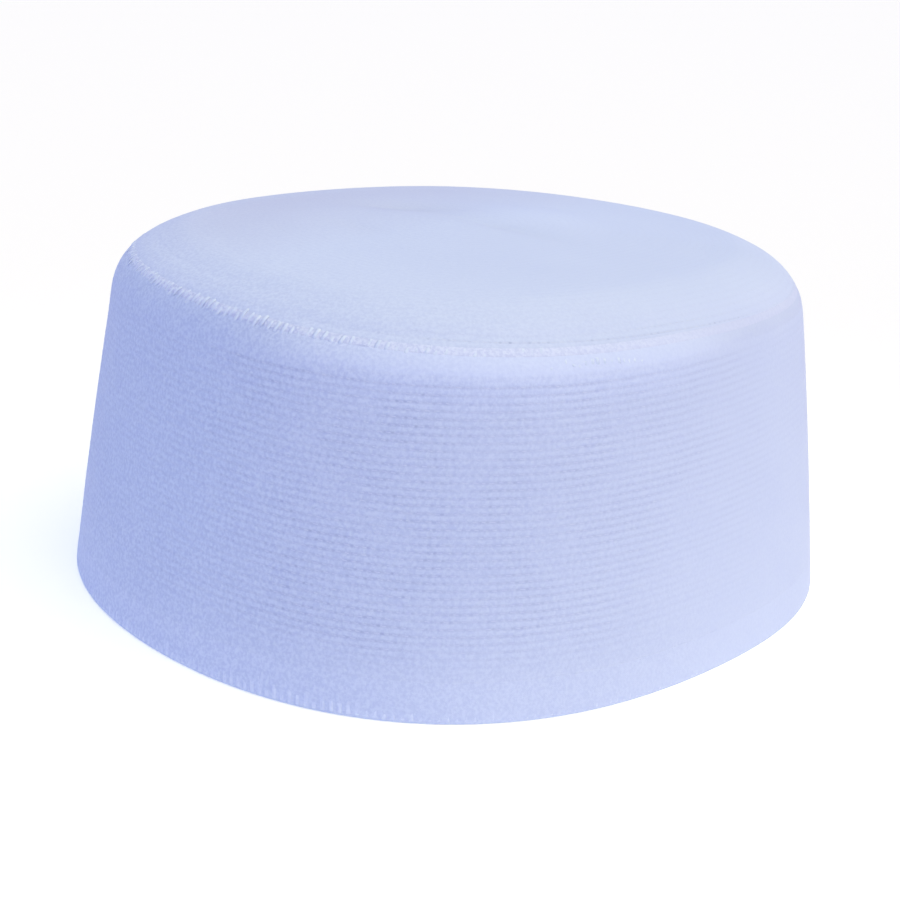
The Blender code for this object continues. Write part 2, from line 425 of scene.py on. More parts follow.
def lumps(shape, seed):
    """Small random rises, for the uneven filling under the cloth."""
    return np.random.default_rng(seed).normal(0, LUMP_RISE, shape)


def band_outer():
    """Rows of (row value, angle, along, rise) up the ribs."""
    ribs = (row_number[:-1, None] + RIB_STEPS).ravel()
    steps = np.r_[0.0, 0.05, ribs[1:], RIBS]
    low = np.floor(steps).astype(int)
    high = np.minimum(low + 1, RIBS)
    part = (steps - low)[:, None]
    angle = row_angle[low] * (1 - part) + row_angle[high] * part
    along = row_along[low] * (1 - part) + row_along[high] * part
    drawn = (column % 2 == 0) * round_cap(HOLES_SHOWN, angle)
    groove = -ROW_FALL - (HOLE_FALL - ROW_FALL) * drawn
    rise = np.where(part == 0, groove, RIB_RISE * (1 - RIB_AT_HOLE * drawn))
    uneven = lumps(angle.shape, 15) * round_cap(SPECKS_SHOWN, angle) * np.clip(steps[:, None] - 0.3, 0, 1)
    return steps, angle, along, rise * row_strength(steps[:, None], angle) + uneven


def make_side_band():
    """The band's grid: ribs, then the plain strip to the seam, then down the inner face."""
    steps, angle, along, rise = band_outer()
    top_angle = angle[-1][None, :]
    band_top = seam_along(top_angle) - SEAM_WIDTH / 2
    part = STRIP_STEPS[:, None]
    strip_along = along[-1][None, :] * (1 - part) + band_top * part
    smoother = 1 - STRIP_CALM * np.abs(round_cap(STRIP_LIGHT_AND_SHADE, top_angle))
    uneven = lumps(strip_along.shape, 16) * round_cap(SPECKS_SHOWN, top_angle) * smoother
    strip_rise = (STRIP_SWELL + uneven) * np.sin(math.pi * part)
    inner_along = HEM_HEIGHT * (1 - INNER_STEPS[:, None]) + band_top * INNER_STEPS[:, None]
    angles = np.vstack([angle, top_angle + 0 * strip_along, top_angle + 0 * inner_along])
    alongs = np.vstack([along, strip_along, inner_along])
    rises = np.vstack([rise, strip_rise, -CLOTH + 0 * inner_along])
    points = on_cap(angles, alongs, rises)
    rows = np.r_[np.minimum(steps, LAST_ROW), LAST_ROW + 0 * STRIP_STEPS, LAST_ROW * INNER_STEPS]
    count = np.arange(COLUMNS + 1) / 2
    around = count * TURN * RIM_RADIUS / STITCHES_AROUND
    in_rows = row_strength(steps[:, None], angle)
    # painted light on the strip at the front, painted shade on it at the right
    strip_light_and_shade = np.vstack([0 * along, 1 + 0 * strip_along, 0 * inner_along])
    strip_light_and_shade = strip_light_and_shade * round_cap(STRIP_LIGHT_AND_SHADE, angles)
    # painted light on the upper rows just below the crease, at the front
    below = np.clip((alongs - BELOW_CREASE) / BELOW_FADE, 0, 1)
    below = below * np.clip(round_cap(STRIP_LIGHT_AND_SHADE, angles), 0, 1)
    shown = {
        "rows_shown": np.vstack([in_rows, 0 * strip_along, INNER_SHOWN + 0 * inner_along]),
        "holes_shown": round_cap(HOLES_SHOWN, angles),
        "specks_shown": round_cap(SPECKS_SHOWN, angles) * (1 - STRIP_CALM * np.abs(strip_light_and_shade)),
        "lighter": STRIP_PAINTED_LIGHT * strip_light_and_shade + BELOW_PAINTED_LIGHT * below * (1 - np.abs(strip_light_and_shade)),
        # painted shade on the left side, away from the lamp
        "painted_shade": round_cap(LEFT_SHADE_SHOWN, angles) * np.clip(alongs / LEFT_SHADE_HEIGHT, 0, 1),
    }
    stitch_uv, cloth_uv = strip_uv(count, rows), strip_uv(around, alongs.mean(axis=1))
    return cloth_ring("side_band_cloth", points, stitch_uv, cloth_uv, shown)


side_band = make_side_band()

# %% [markdown]
# The thread of each row lies in its groove. A stitch runs from one needle hole to the next and dives at both
# ends, and it slants a little, because the two threads of a machine stitch lock round each other.

# %% Side band: thread
BAND_THREAD = (0.00013, 0.00008)   # half width, half height
STITCH_SLANT = 0.00010
THREAD_SEEN = 0.14    # no stitch where the rows show less than this
HOLE_DIVE = 0.00006   # how far a stitch's ends dive at a needle hole, and elsewhere
LEAST_DIVE = 0.00002


def row_stitches(name, angle, along, next_angle, next_along, depth, lift, thread, slant):
    """Stitches of several rows at once, from each needle hole (angle, along) to the next one."""
    parts = np.array([0.08, 0.30, 0.70, 0.92])
    rises = np.stack([-depth, lift, lift, -depth], axis=-1)
    slants = np.array([slant, slant / 2, -slant / 2, -slant])
    ends = (angle, along, next_angle, next_along)
    angle, along, next_angle, next_along = [values.reshape(-1, 1) for values in ends]
    stitch_angle = angle * (1 - parts) + next_angle * parts
    stitch_along = along * (1 - parts) + next_along * parts + slants
    return stitches(name, stitch_angle, stitch_along, rises + 0 * stitch_angle, thread, 4)


def make_band_thread():
    """A stitch from each hole of the band to the next, left out where the cloth has closed over the rows."""
    angle, along = row_angle[:, ::2], row_along[:, ::2]
    next_angle = np.concatenate([angle[:, 1:], angle[:, :1] + TURN], axis=1)
    next_along = np.roll(along, -1, axis=1)
    strength = row_strength(row_number[:, None], angle)
    seen = strength > THREAD_SEEN
    ends = (angle, along, next_angle, next_along, strength)
    angle, along, next_angle, next_along, strength = [values[seen] for values in ends]
    drawn = round_cap(HOLES_SHOWN, angle)
    depth = (ROW_FALL + (HOLE_FALL - ROW_FALL) * drawn) * strength + HOLE_DIVE * drawn + LEAST_DIVE
    lift = -ROW_FALL * strength + BAND_THREAD[1] * (0.95 * strength - 1.15)
    ends = (angle, along, next_angle, next_along)
    return row_stitches("band_thread", *ends, depth, lift, BAND_THREAD, STITCH_SLANT)


band_thread = make_band_thread()

# %% [markdown]
# ## The top panel
# The round piece of the top is sewn in rings. The outer ring follows the seam, and the rings become rounder
# towards the middle. A ring near the middle is shorter, so it has fewer stitches of the same length. Only the
# first ring shows clearly, at the front. The back left of the top, which faces away from the lamp, is darker
# with painted shade.

# %% Top panel: rings
TOP_RINGS = 43
TOP_RIB_RISE = 0.000008
TOP_ROW_FALL = 0.000010
EDGE_ROW = (0.0026, -0.0015)   # the first row above the seam: mean, share of the cosine
TOP_COLUMNS = 560
STITCH_LENGTH = 0.0020
LIP_SWELL = 0.00003
TOP_WANDER = 0.00004
CENTRE_ROWS = 4                # the ribs die away over this many rows at the centre

EDGE_SHOWN = ((-180, 0.1), (-105, 0.2), (-92, 1), (-62, 1.4), (-38, 1.2), (-24, 0.2), (180, 0.1))
EDGE_REACH = 0.8               # rows over which the first ring fades
TOP_ROWS_SHOWN = 0.15
TOP_SPECKS = 0.35
EDGE_SPECKS = 0.55             # more specks near the seam, over EDGE_ROWS rows
EDGE_ROWS = 8
# painted light over the whole top
TOP_PAINTED_LIGHT = 0.035
HOLLOW_PAINTED_SHADE = 0.04           # painted shade in a hollow of HOLLOW_DEPTH, and painted light on a swell
HOLLOW_DEPTH = 0.0010
BACK_PAINTED_SHADE = 0.10          # painted shade behind the diagonal from front left to back right, over BACK_SHADE_SPAN
BACK_SHADE_SPAN = 0.08
BACK_SHADE_EDGE = 0.8             # share of that painted shade that is taken off again near the seam


def ring_along(ring, angle):
    """Place of a ring along the cloth: from the row above the seam, ring 0, to the centre."""
    first = seam_along(angle) + EDGE_ROW[0] + EDGE_ROW[1] * np.cos(angle)
    part = ring / TOP_RINGS
    return first * (1 - part) + CENTRE_ALONG * part


def make_top_panel():
    """The top's grid: from the seam to the first row, over the ribs to the centre, and back underneath."""
    angle = np.linspace(0, TURN, TOP_COLUMNS, endpoint=False)[None, :]
    panel_edge = seam_along(angle) + SEAM_WIDTH / 2
    lip_part = np.array([0.0, 0.03, 0.25, 0.5, 0.75])[:, None]
    lip_along = panel_edge * (1 - lip_part) + ring_along(0, angle) * lip_part
    lip_rise = LIP_SWELL * np.sin(math.pi * lip_part) + 0 * angle
    steps = (np.arange(TOP_RINGS)[:, None] + RIB_STEPS).ravel()
    wander = row_wander(len(steps), angle + 0 * steps[:, None], TOP_WANDER, 21)
    wander = wander * np.clip(steps[:, None] / CALM_ROWS, 0, 1)
    fade = np.clip((TOP_RINGS - steps[:, None]) / CENTRE_ROWS, 0, 1)
    rib_along = ring_along(steps[:, None], angle) + wander * fade
    rib_rise = np.where(steps[:, None] % 1 == 0, -TOP_ROW_FALL, TOP_RIB_RISE) * fade + 0 * angle
    back = np.array([1.0, 0.9, 0.78, 0.66, 0.54, 0.42, 0.31, 0.23, 0.17, 0.12, 0.08, 0.04, 0.0])[:, None]
    back_along = panel_edge * (1 - back) + CENTRE_ALONG * back
    alongs = np.vstack([lip_along, rib_along, np.full_like(angle, CENTRE_ALONG), back_along])
    rises = np.vstack([lip_rise, rib_rise, 0 * angle, -CLOTH + 0 * back_along])
    angles = angle + 0 * alongs
    points = on_cap(angles, alongs, rises)
    rows = np.r_[lip_part[:, 0] - 1, steps, TOP_RINGS, TOP_RINGS * back[:, 0]]
    share = np.arange(TOP_COLUMNS + 1) / TOP_COLUMNS
    nearest = np.clip(np.round((rows + np.roll(rows, -1)) / 2 - 0.01), 0, TOP_RINGS - 1)
    stitch_uv = strip_uv(ring_stitches(nearest)[:, None] * share, rows)
    stitch_uv[1][..., 0] = stitch_uv[0][..., 0]   # each strip keeps its own ring's count at both edges
    mean_along = alongs.mean(axis=1)
    girth = TURN * (RIM_RADIUS - np.interp(mean_along, ALONG, INSET_AT))
    cloth_uv = strip_uv(girth[:, None] * share, mean_along)
    edge_row = np.exp(-(rows[:, None] / EDGE_REACH) ** 2) * round_cap(EDGE_SHOWN, angle)
    near_edge = np.exp(-(rows[:, None] / EDGE_ROWS) ** 2)
    x, y = points[..., 0], points[..., 1]
    # painted shade in the top's hollows and painted light on its swells, and painted shade on its back left,
    # away from the lamp, less of it near the seam
    hollow = np.clip(-top_relief(x + CENTRE_X, y + CENTRE_Y) / HOLLOW_DEPTH, -0.5, 1)
    painted_shade = (1 - BACK_SHADE_EDGE * near_edge) * np.clip((y - x) / BACK_SHADE_SPAN, 0, 1)
    shown = {
        "rows_shown": TOP_ROWS_SHOWN + (1 - TOP_ROWS_SHOWN) * edge_row,
        "holes_shown": 1.0,
        "specks_shown": (TOP_SPECKS + EDGE_SPECKS * near_edge) * round_cap(SPECKS_SHOWN, angles),
        "lighter": TOP_PAINTED_LIGHT - BACK_PAINTED_SHADE * painted_shade - HOLLOW_PAINTED_SHADE * hollow,
        "painted_shade": painted_shade,
    }
    return cloth_ring("top_panel_cloth", points, stitch_uv, cloth_uv, shown)


def ring_stitches(ring):
    """Number of stitches in a ring: its length over the stitch length."""
    radius = RIM_RADIUS - np.interp(ring_along(ring, math.pi / 2), ALONG, INSET_AT)
    return np.maximum(np.round(TURN * radius / STITCH_LENGTH), 6)


top_panel = make_top_panel()


# %% Top panel: thread
TOP_DIVE = 0.0001
TOP_SINK = 0.00002
TOP_THREAD = (0.00012, 0.00003)
TOP_STITCH_SLANT = 0.00006


def make_top_thread():
    """Stitches of every ring, each ring with its own count of stitches."""
    ring = np.arange(TOP_RINGS)
    counts = ring_stitches(ring).astype(int)
    which = np.repeat(ring, counts)
    place = np.arange(counts.sum()) - np.repeat(np.cumsum(counts) - counts, counts)
    angle = TURN * place / counts[which]
    next_angle = angle + TURN / counts[which]
    depth = np.full(len(which), TOP_ROW_FALL + TOP_DIVE)
    lift = np.full(len(which), -TOP_ROW_FALL - TOP_SINK)
    ends = (angle, ring_along(which, angle), next_angle, ring_along(which, next_angle))
    return row_stitches("top_thread", *ends, depth, lift, TOP_THREAD, TOP_STITCH_SLANT)


top_thread = make_top_thread()

# %% [markdown]
# ## The seam round the top
# Where the wall meets the top, both edges are turned in and whipped together, which leaves a ridge with
# slanting stitches over it. Below it a row of short upright stitches holds the turned edge down.

# %% Seam: how far it stands out
SEAM_RISE = 0.00012
RIDGE_EXTRA = 0.0006    # the ridge is wider than the gap it covers
RIDGE_INSIDE = 0.0003   # how far the turned edges swell on the inside
RIDGE_LEAST = 0.35      # share of the ridge's rise that is left where the seam hardly shows
RIDGE_PINCH = 0.2
RIDGE_PARTS = np.array([0.0, 0.12, 0.3, 0.5, 0.7, 0.86, 1.0])
RIDGE_RISE = np.array([-0.4, 0.35, 0.8, 1.0, 0.8, 0.3, -0.4])
SEAM_SHOWN = ((-180, 0.8), (-118, 1), (-94, 0.45), (-62, 0.34), (-46, 0.15), (-33, 0), (0, 0),
              (40, 0.6), (180, 0.8))
SEAM_RADIUS = 0.08
WHIP_COUNT = 262
SEAM_COLUMNS = 4 * WHIP_COUNT


# %% Seam: ridge
def make_seam_ridge():
    """The ridge: a low, lumpy roll, pinched a little between two slanting stitches."""
    count = np.arange(SEAM_COLUMNS)[None, :]
    angle = TURN * count / SEAM_COLUMNS - math.pi
    width = SEAM_WIDTH + RIDGE_EXTRA
    low = seam_along(angle) - width / 2
    show = round_cap(SEAM_SHOWN, angle)
    pinch = 1 - RIDGE_PINCH + RIDGE_PINCH * np.cos(math.pi * count / 2)
    pinch = (RIDGE_LEAST + (1 - RIDGE_LEAST) * show) * pinch
    uneven = lumps((len(RIDGE_PARTS), SEAM_COLUMNS), 33) * show * np.clip(RIDGE_RISE, 0, 1)[:, None]
    outer_rise = SEAM_RISE * RIDGE_RISE[:, None] * pinch + uneven
    inner_rise = -CLOTH - RIDGE_INSIDE * np.sin(math.pi * RIDGE_PARTS)[:, None] + 0 * angle
    alongs = np.vstack([low + width * RIDGE_PARTS[:, None], low + width * RIDGE_PARTS[::-1][:, None]])
    points = on_cap(angle, alongs, np.vstack([outer_rise, inner_rise]))
    rows = np.r_[RIDGE_PARTS, RIDGE_PARTS[::-1]]
    stitch_uv = strip_uv(np.arange(SEAM_COLUMNS + 1) / 4, rows)
    metres = np.array([TURN * SEAM_RADIUS / WHIP_COUNT, SEAM_WIDTH])
    shown = {
        "rows_shown": TOP_ROWS_SHOWN + (1 - TOP_ROWS_SHOWN) * show,
        "holes_shown": 1.0,
        "specks_shown": round_cap(SPECKS_SHOWN, angle),
        # painted light on the ridge at the front and painted shade on it at the right, half as strong as on
        # the strip
        "lighter": STRIP_PAINTED_LIGHT / 2 * round_cap(STRIP_LIGHT_AND_SHADE, angle),
    }
    return cloth_ring("seam_ridge", points, stitch_uv, [uv * metres for uv in stitch_uv], shown)


seam_ridge = make_seam_ridge()

# %% Seam: slanting stitches
WHIP_SLANT = 0.36      # of the distance between two stitches
WHIP_SINK = 0.00018    # how deep they lie where the seam hardly shows
WHIP_THREAD = (0.00050, 0.00011)


def make_whip():
    """Stitches over the ridge, with chance in their slant, place, length and lift; longer where they show."""
    chance = np.random.default_rng(31)
    count = np.arange(WHIP_COUNT)[:, None]
    part = np.array([0.0, 0.14, 0.36, 0.6, 0.84, 1.0])
    slant = WHIP_SLANT + chance.normal(0, 0.08, count.shape)
    start = count + 0.3 + chance.normal(0, 0.06, count.shape)
    angle = TURN * (start + slant * part) / WHIP_COUNT - math.pi
    show = round_cap(SEAM_SHOWN, angle[:, :1])
    reach = 0.0008 + 0.0026 * show + chance.normal(0, 0.00022, count.shape)
    low = -0.0005 - 0.0015 * show + chance.normal(0, 0.00022, count.shape)
    along = seam_along(angle) + low + reach * part
    arch = np.array([-0.00024, -0.00001, 0.00008, 0.00009, 0.0, -0.00024])
    arch = arch + chance.normal(0, 0.00005, count.shape)
    return stitches("seam_whip_thread", angle, along, arch * show - WHIP_SINK * (1 - show), WHIP_THREAD, 6)


seam_whip = make_whip()

# %% Seam: upright stitches below it, which show only right of the middle of the front
UPRIGHT_ANGLES = np.arange(-82.0, -56.0, 1.10)   # degrees
UPRIGHT_MIDDLE = -69
UPRIGHT_REACH = 9
UPRIGHT_SINK = 0.00012
UPRIGHT_RISE = 0.00021
UPRIGHT_THREAD = (0.00042, 0.00012)


def make_uprights():
    """Short stitches up the cloth, with chance in their length, place and rise."""
    chance = np.random.default_rng(32)
    place = np.radians(UPRIGHT_ANGLES)[:, None]
    part = np.array([0.0, 0.2, 0.5, 0.8, 1.0])
    length = 0.0016 + chance.normal(0, 0.00035, place.shape)
    angle = place + 0.002 * part + chance.normal(0, 0.002, place.shape)
    low = -0.0036 + chance.normal(0, 0.00025, place.shape)
    along = seam_along(angle) + low + length * part
    show = np.exp(-((angle - math.radians(UPRIGHT_MIDDLE)) / math.radians(UPRIGHT_REACH)) ** 2)
    arch = np.array([-0.0003, -0.00004, 0.0, -0.00004, -0.0003])
    rise = arch - UPRIGHT_SINK + UPRIGHT_RISE * show * chance.uniform(0.2, 1.0, place.shape)
    return stitches("seam_upright_thread", angle, along, rise, UPRIGHT_THREAD, 6)


seam_upright = make_uprights()

# %% [markdown]
# ## The hem
# The lowest part of the wall is turned up inside, so it is thicker and has no ribs. Its edge is bound with
# upright stitches, close together, which catch the light as a row of short strokes.

# %% Hem: cloth
HEM_STITCHES = 312
HEM_STEPS = 4
HEM_COLUMNS = HEM_STEPS * HEM_STITCHES
BINDING_RISE = 0.00006
BINDING_SHOWN = ((-180, 0.7), (-150, 0.8), (-130, 1.1), (-104, 1.3), (-92, 0.6), (-80, 0.15), (0, 0.1),
                 (60, 0.7), (180, 0.7))
BINDING_HEIGHT = 0.0050
# painted light on the hem, for the light that the floor throws back onto the foot of the wall
HEM_PAINTED_LIGHT = 0.015


def make_hem():
    """The hem's grid: a rounded foot, the outer face up to the first row, the thicker inner face down.

    The bound edge swells under each upright stitch: the rise is a cosine round the cap, of chance size,
    faded out above the binding.
    """
    count = np.arange(HEM_COLUMNS)[None, :]
    angle = TURN * count / HEM_COLUMNS
    outer_parts = np.array([0.02, 0.07, 0.14, 0.24, 0.34, 0.44, 0.54, 0.64, 0.76, 0.88, 0.985, 1.0])[:, None]
    inner_parts = np.array([1.0, 0.96, 0.85, 0.65, 0.4, 0.2, 0.07])[:, None]
    swell = 0.00001 * np.array([-30, -6, 3, 5, 5, 4, 3, 2, 1, 0, 0, 0])
    size = np.repeat(np.random.default_rng(43).uniform(0.2, 1.0, HEM_STITCHES), HEM_STEPS)[None, :]
    fade = np.clip((BINDING_HEIGHT / HEM_HEIGHT + 0.1 - outer_parts) / 0.2, 0, 1)
    size = size * round_cap(BINDING_SHOWN, angle)
    ripple = BINDING_RISE * size * np.cos(TURN * count / HEM_STEPS) * fade
    specks = round_cap(SPECKS_SHOWN, angle)
    uneven = lumps((len(outer_parts), HEM_COLUMNS), 44) * (outer_parts < 0.98) * specks
    outer_along = HEM_HEIGHT * outer_parts + 0 * angle
    inner_along = HEM_HEIGHT * inner_parts + 0 * angle
    inner_swell = -np.array([0.0020, 0.0027, HEM_CLOTH, HEM_CLOTH, HEM_CLOTH, HEM_CLOTH, 0.0028])
    foot_rise = np.array([-0.0024, -0.0015, -0.0007])[:, None] + 0 * angle
    alongs = np.vstack([outer_along, inner_along, 0 * foot_rise])
    rises = np.vstack([swell[:, None] + ripple + uneven, inner_swell[:, None] + 0 * angle, foot_rise])
    points = on_cap(angle, alongs, rises)
    points[..., 2] = np.maximum(points[..., 2], 0.0)
    rows = np.r_[outer_parts[:, 0], inner_parts[:, 0], 0, 0, 0]
    stitch_uv = strip_uv(np.arange(HEM_COLUMNS + 1) / HEM_STEPS, rows)
    metres = np.array([TURN * RIM_RADIUS / HEM_STITCHES, HEM_HEIGHT])
    shown = {"rows_shown": 0.0, "holes_shown": 0.0, "specks_shown": specks, "lighter": HEM_PAINTED_LIGHT}
    return cloth_ring("rim_hem_cloth", points, stitch_uv, [uv * metres for uv in stitch_uv], shown)


rim_hem = make_hem()

# %% Hem: edge binding
BINDING_LOW = 0.0006
BINDING_LEAN = 0.12   # of the distance between two stitches
BINDING_SINK = 0.00010
BINDING_LIFT = 0.00005
BINDING_THREAD = (0.00050, 0.00008)


def make_binding():
    """Upright stitches from near the top of the binding to its foot, sunk where they don't show."""
    chance = np.random.default_rng(41)
    count = np.arange(HEM_STITCHES)[:, None]
    part = np.array([0.0, 0.12, 0.4, 0.75, 0.94, 1.0])
    height = BINDING_HEIGHT - 0.0008 + chance.normal(0, 0.0005, count.shape)
    angle = TURN * (count + BINDING_LEAN * part) / HEM_STITCHES
    along = height + (BINDING_LOW - height) * part
    sink = BINDING_SINK * (1 - round_cap(BINDING_SHOWN, angle[:, :1]))
    lift = chance.uniform(-BINDING_LIFT, 0.0, count.shape) - sink
    arch = np.array([-0.0002, -0.00003, 0.00002, 0.00003, 0.0, -0.0002])
    return stitches("rim_edge_thread", angle, along, arch + lift, BINDING_THREAD, 8)


edge_thread = make_binding()

# %% [markdown]
# ## The cloth and thread finishes
# The cloth is a fine plain weave, matt, in a cool white. Three effects are node groups, which every material
# uses with its own values: the weave with its pebbles, the rows with their needle holes, which the material
# darkens with painted shade, and the soft drift of tone that any sewn cloth has. The groups give masks and
# heights, and the shader stays in the material. Weave and rows follow UV maps, since they must turn with the
# cloth as it goes round the cap.


# %% Node helpers
def fill(tree, node, values):
    """Fill a node's inputs: a value is a constant or a socket; a colour of three gets its fourth, one."""
    for name, value in values.items():
        if isinstance(value, bpy.types.NodeSocket):
            tree.links.new(value, node.inputs[name])
        else:
            node.inputs[name].default_value = (*value, 1.0) if isinstance(value, tuple) else value


def add_node(tree, kind, values=None, **settings):
    """The outputs of a new node with its settings made and its inputs filled."""
    node = tree.nodes.new("ShaderNode" + kind)
    for setting, value in settings.items():
        setattr(node, setting, value)
    fill(tree, node, values or {})
    return node.outputs


def maths(tree, operation, *values):
    """A math node's result."""
    return add_node(tree, "Math", dict(enumerate(values)), operation=operation)[0]


def times(tree, first, second):
    """A product."""
    return maths(tree, "MULTIPLY", first, second)


def scaled(tree, value, factor, shift):
    """Value times a factor, plus a shift."""
    return maths(tree, "MULTIPLY_ADD", value, factor, shift)


def ramp(tree, value, low, high):
    """A smooth step from 0 at low to 1 at high."""
    values = {"Value": value, "From Min": low, "From Max": high}
    return add_node(tree, "MapRange", values, interpolation_type="SMOOTHSTEP")["Result"]


def noise(tree, vector, scale, detail=2.0, roughness=0.5):
    """Soft noise, from 0 to 1."""
    values = {"Vector": vector, "Scale": scale, "Detail": detail, "Roughness": roughness}
    return add_node(tree, "TexNoise", values)["Fac"]


def mix_colour(tree, factor, first, second):
    """A mix of two colours, which are tuples or sockets."""
    return add_node(tree, "Mix", {0: factor, 6: first, 7: second}, data_type="RGBA")[2]


def bump(tree, height, strength, distance):
    """A normal bent by a height."""
    return add_node(tree, "Bump", {"Height": height, "Strength": strength, "Distance": distance})["Normal"]


def new_group(name, inputs, outputs):
    """A shader node group; inputs are (name, kind, value), outputs are names of numbers."""
    group = bpy.data.node_groups.new(name, "ShaderNodeTree")
    for socket_name, kind, value in inputs:
        socket = group.interface.new_socket(socket_name, in_out="INPUT", socket_type="NodeSocket" + kind)
        if value is not None:
            socket.default_value = value
    for socket_name in outputs:
        group.interface.new_socket(socket_name, in_out="OUTPUT", socket_type="NodeSocketFloat")
    return group, group.nodes.new("NodeGroupInput").outputs, group.nodes.new("NodeGroupOutput")


# %% Node group: weave
def make_weave():
    """Height of the cloth's face: a plain weave, the sine across times the sine along, over soft pebbles."""
    inputs = [("Vector", "Vector", None), ("Place", "Vector", None), ("Threads", "Float", 4200.0),
              ("Pebbles", "Float", 1250.0)]
    group, entry, leave = new_group("plain_weave", inputs, ["Weave", "Pebble"])
    apart = add_node(group, "SeparateXYZ", {0: entry["Vector"]})
    waves = []
    for axis in ("X", "Y"):
        turns = times(group, apart[axis], entry["Threads"])
        waves.append(maths(group, "SINE", times(group, turns, math.pi)))
    weave = scaled(group, times(group, *waves), 0.5, 0.5)
    pebble = noise(group, entry["Place"], entry["Pebbles"], 2.5, 0.6)
    fill(group, leave, {"Weave": weave, "Pebble": pebble})
    return group


weave_group = make_weave()


# %% Node group: stitch rows
def make_stitch_rows():
    """Masks of rows and needle holes: u counts stitches, v counts rows, and both are whole at a hole.

    The row mask falls off with the distance from a whole v, the hole mask with the distance from a whole
    (u, v), and each hole gets a chance value of its own, because no two of them are pulled equally tight.
    """
    inputs = [("Vector", "Vector", None), ("Row Width", "Float", 0.38), ("Hole Width", "Float", 0.26)]
    group, entry, leave = new_group("stitch_rows", inputs, ["Row", "Hole"])
    apart = add_node(group, "SeparateXYZ", {0: entry["Vector"]})
    off_stitch = maths(group, "PINGPONG", apart["X"], 0.5)
    off_row = maths(group, "PINGPONG", apart["Y"], 0.5)
    row = maths(group, "SUBTRACT", 1.0, maths(group, "DIVIDE", off_row, entry["Row Width"]))
    squares = maths(group, "ADD", maths(group, "POWER", off_row, 2.0), maths(group, "POWER", off_stitch, 2.0))
    distance = maths(group, "SQRT", squares)
    hole = maths(group, "SUBTRACT", 1.0, maths(group, "DIVIDE", distance, entry["Hole Width"]))
    number = {0: maths(group, "ROUND", apart["X"]), 1: maths(group, "ROUND", apart["Y"])}
    number = add_node(group, "CombineXYZ", number)[0]
    chance = add_node(group, "TexWhiteNoise", {"Vector": number}, noise_dimensions="2D")["Value"]
    pull = scaled(group, maths(group, "POWER", chance, 2.2), 0.95, 0.05)
    hole = times(group, ramp(group, hole, 0.0, 0.8), pull)
    fill(group, leave, {"Row": ramp(group, row, 0.0, 1.0), "Hole": hole})
    return group


stitch_group = make_stitch_rows()


# %% Node group: drift of tone
def make_drift():
    """Slow, middling and fine changes of tone over the piece, each between 0 and 1."""
    group, entry, leave = new_group("tone_drift", [("Vector", "Vector", None)], ["Slow", "Patch", "Fine"])
    for name, scale, detail in (("Slow", 22.0, 3.0), ("Patch", 90.0, 2.0), ("Fine", 900.0, 3.0)):
        fill(group, leave, {name: noise(group, entry["Vector"], scale, detail)})
    return group


drift_group = make_drift()

# %% [markdown]
# Each cloth material mixes a light and a dark tone, darkens the rows and the needle holes with painted
# shade, gives the cooler tint of painted shade where the piece says, and makes it as much lighter or darker,
# with painted light or painted shade, as the piece says. Thread is lighter than cloth, and has fibres in
# place of a weave.

# %% Materials
DEEP_SHADE = (0.42, 0.46, 0.60)   # painted shade: what is left of the dark tone deep in a needle hole
TONE_MIDDLE = 0.42
SLOW_DRIFT = 0.16
WEAVE_HEIGHT = 0.08               # of the pebbles' height


def new_material(name):
    """A material, its node tree, its Principled shader and its Object coordinates."""
    material = bpy.data.materials.new(name)
    material.use_nodes = True
    tree = material.node_tree
    return material, tree, tree.nodes["Principled BSDF"], add_node(tree, "TexCoord")["Object"]


